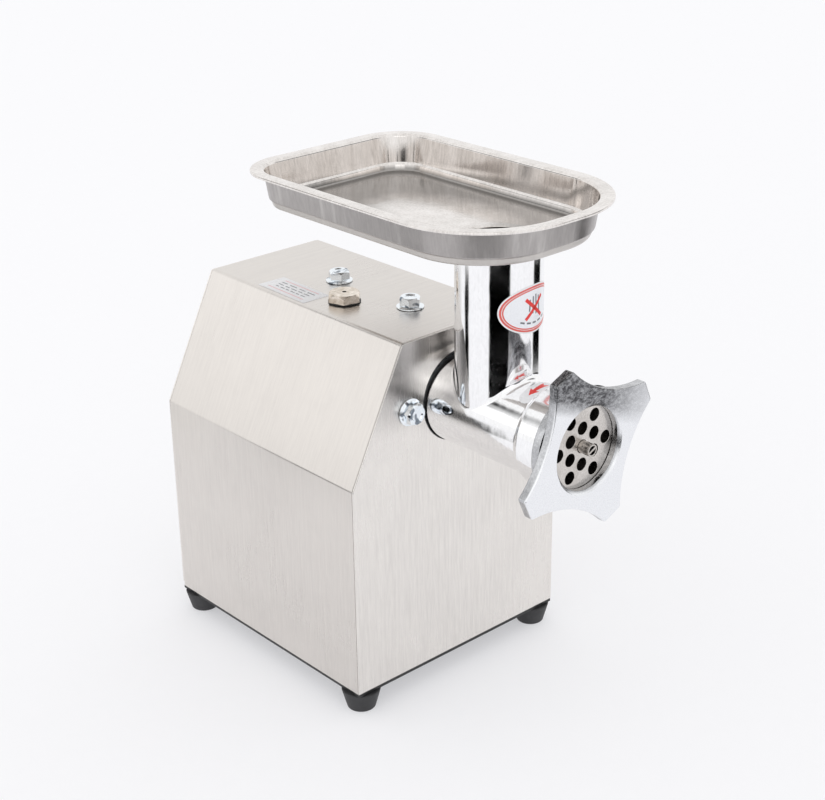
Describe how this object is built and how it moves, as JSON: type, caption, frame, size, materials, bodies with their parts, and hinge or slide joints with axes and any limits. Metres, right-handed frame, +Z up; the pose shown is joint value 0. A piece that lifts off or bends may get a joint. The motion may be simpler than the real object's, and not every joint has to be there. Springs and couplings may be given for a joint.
{
  "type": "electric meat grinder",
  "caption": "Bench-top electric meat grinder: gabled sheet-steel cabinet, cast barrel with upright feed tube, lobed ring nut, cutting plate and pressed hopper tray.",
  "frame": {"origin": "centre of the overall box on the plane that the feet stand on", "axes": "+Z up, -Y forward along the barrel towards the ring nut, +X to the right seen from the front"},
  "size_m": [0.2226, 0.3914, 0.4076],
  "materials": {
    "cabinet_steel": "fine vertical brushed grain",
    "tray_steel": "satin pressed sheet, bright rolled rim",
    "polished_casting": "mirror-polished casting",
    "ring_casting": "cast, coarse polished",
    "tool_steel": "ground",
    "tinned_casting": "tinned",
    "gearbox_casting": "rough painted casting",
    "gear_steel": "machined, oiled",
    "bearing_steel": "ground",
    "zinc": "blue zinc plate",
    "plug_brass": "nickelled brass, dull",
    "motor_aluminium": "cast",
    "winding_copper": "enamelled copper wire and laminations",
    "black_steel": "satin black paint",
    "foot_rubber": "moulded",
    "black_plastic": "moulded",
    "red_plastic": "moulded"
  },
  "bodies": {
    "cabinet": {"housing_wrap": "cabinet_steel", "front_panel": "cabinet_steel", "rear_panel": "cabinet_steel", "base_plate": "black_steel", "foot_left_front": "foot_rubber", "foot_left_rear": "foot_rubber", "foot_right_front": "foot_rubber", "foot_right_rear": "foot_rubber", "shaft_seal": "foot_rubber", "foot_screw_left_front": "zinc", "foot_screw_left_rear": "zinc", "foot_screw_right_front": "zinc", "foot_screw_right_rear": "zinc", "rear_screw_1": "zinc", "rear_screw_2": "zinc", "rear_screw_3": "zinc", "rear_screw_4": "zinc", "cover_screw_1": "zinc", "cover_screw_2": "zinc", "cover_screw_3": "zinc", "cover_screw_4": "zinc", "gearbox_bolt_left": "zinc", "gearbox_bolt_right": "zinc", "roof_bolt_front": "zinc", "roof_bolt_rear": "zinc", "front_bolt_left": "zinc", "front_bolt_right": "zinc", "capacitor_clip": "zinc", "oil_plug": "plug_brass", "gearbox_body": "gearbox_casting", "gearbox_cover": "gearbox_casting", "output_bearing_front": "bearing_steel", "output_bearing_rear": "bearing_steel", "layshaft_bearing_front": "bearing_steel", "layshaft_bearing_rear": "bearing_steel", "motor_bearing_front": "bearing_steel", "motor_bearing_rear": "bearing_steel", "motor_housing": "motor_aluminium", "motor_drive_bell": "motor_aluminium", "motor_fan_bell": "motor_aluminium", "motor_stator": "winding_copper", "start_capacitor": "black_plastic", "switch_body": "black_plastic", "cable_gland": "black_plastic"},
    "output_drive": {"output_shaft": "gear_steel", "output_gear": "gear_steel"},
    "layshaft_unit": {"layshaft": "gear_steel", "layshaft_gear": "gear_steel", "layshaft_pinion": "gear_steel"},
    "motor_shaft": {"motor_rotor": "gear_steel", "motor_pinion": "gear_steel", "cooling_fan": "black_plastic"},
    "head": {"grinding_head": "polished_casting"},
    "feed_screw": {"auger": "tinned_casting", "cross_knife": "tool_steel"},
    "plate": {"cutting_plate": "tool_steel"},
    "ring": {"ring_nut": "ring_casting"},
    "tray": {"hopper_tray": "tray_steel"},
    "switch_lever": {"switch_rocker": "red_plastic"}
  },
  "joints": [
    {"name": "drive_spin", "type": "hinge", "parent": "cabinet", "child": "output_drive", "pos_m": [0, 0.04075, 0.242], "axis": [0, -1, 0], "continuous": true},
    {"name": "layshaft_spin", "type": "hinge", "parent": "cabinet", "child": "layshaft_unit", "pos_m": [0, 0.12075, 0.182], "axis": [0, -1, 0], "continuous": true},
    {"name": "motor_spin", "type": "hinge", "parent": "cabinet", "child": "motor_shaft", "pos_m": [0, 0.04075, 0.126], "axis": [0, -1, 0], "continuous": true},
    {"name": "head_slide", "type": "slide", "parent": "cabinet", "child": "head", "axis": [0, -1, 0], "range_m": [0, 0.05]},
    {"name": "auger_spin", "type": "hinge", "parent": "head", "child": "feed_screw", "pos_m": [0, -0.10925, 0.242], "axis": [0, -1, 0], "continuous": true},
    {"name": "plate_slide", "type": "slide", "parent": "head", "child": "plate", "axis": [0, -1, 0], "range_m": [0, 0.0121]},
    {"name": "ring_turn", "type": "hinge", "parent": "plate", "child": "ring", "pos_m": [0, -0.18925, 0.242], "axis": [0, -1, 0], "range_deg": [0, 1440]},
    {"name": "tray_lift", "type": "slide", "parent": "head", "child": "tray", "axis": [0, 0, 1], "range_m": [0, 0.06]},
    {"name": "switch_rock", "type": "hinge", "parent": "cabinet", "child": "switch_lever", "pos_m": [0.07, 0.17955, 0.082], "axis": [1, 0, 0], "range_deg": [0, 20]}
  ],
  "couplings": [
    {"joint": "layshaft_spin", "follows": "drive_spin", "ratio": -2.75},
    {"joint": "motor_spin", "follows": "drive_spin", "ratio": 8.25},
    {"joint": "auger_spin", "follows": "drive_spin", "ratio": 1},
    {"joint": "plate_slide", "follows": "ring_turn", "m_per_rad": 0.00047746}
  ]
}
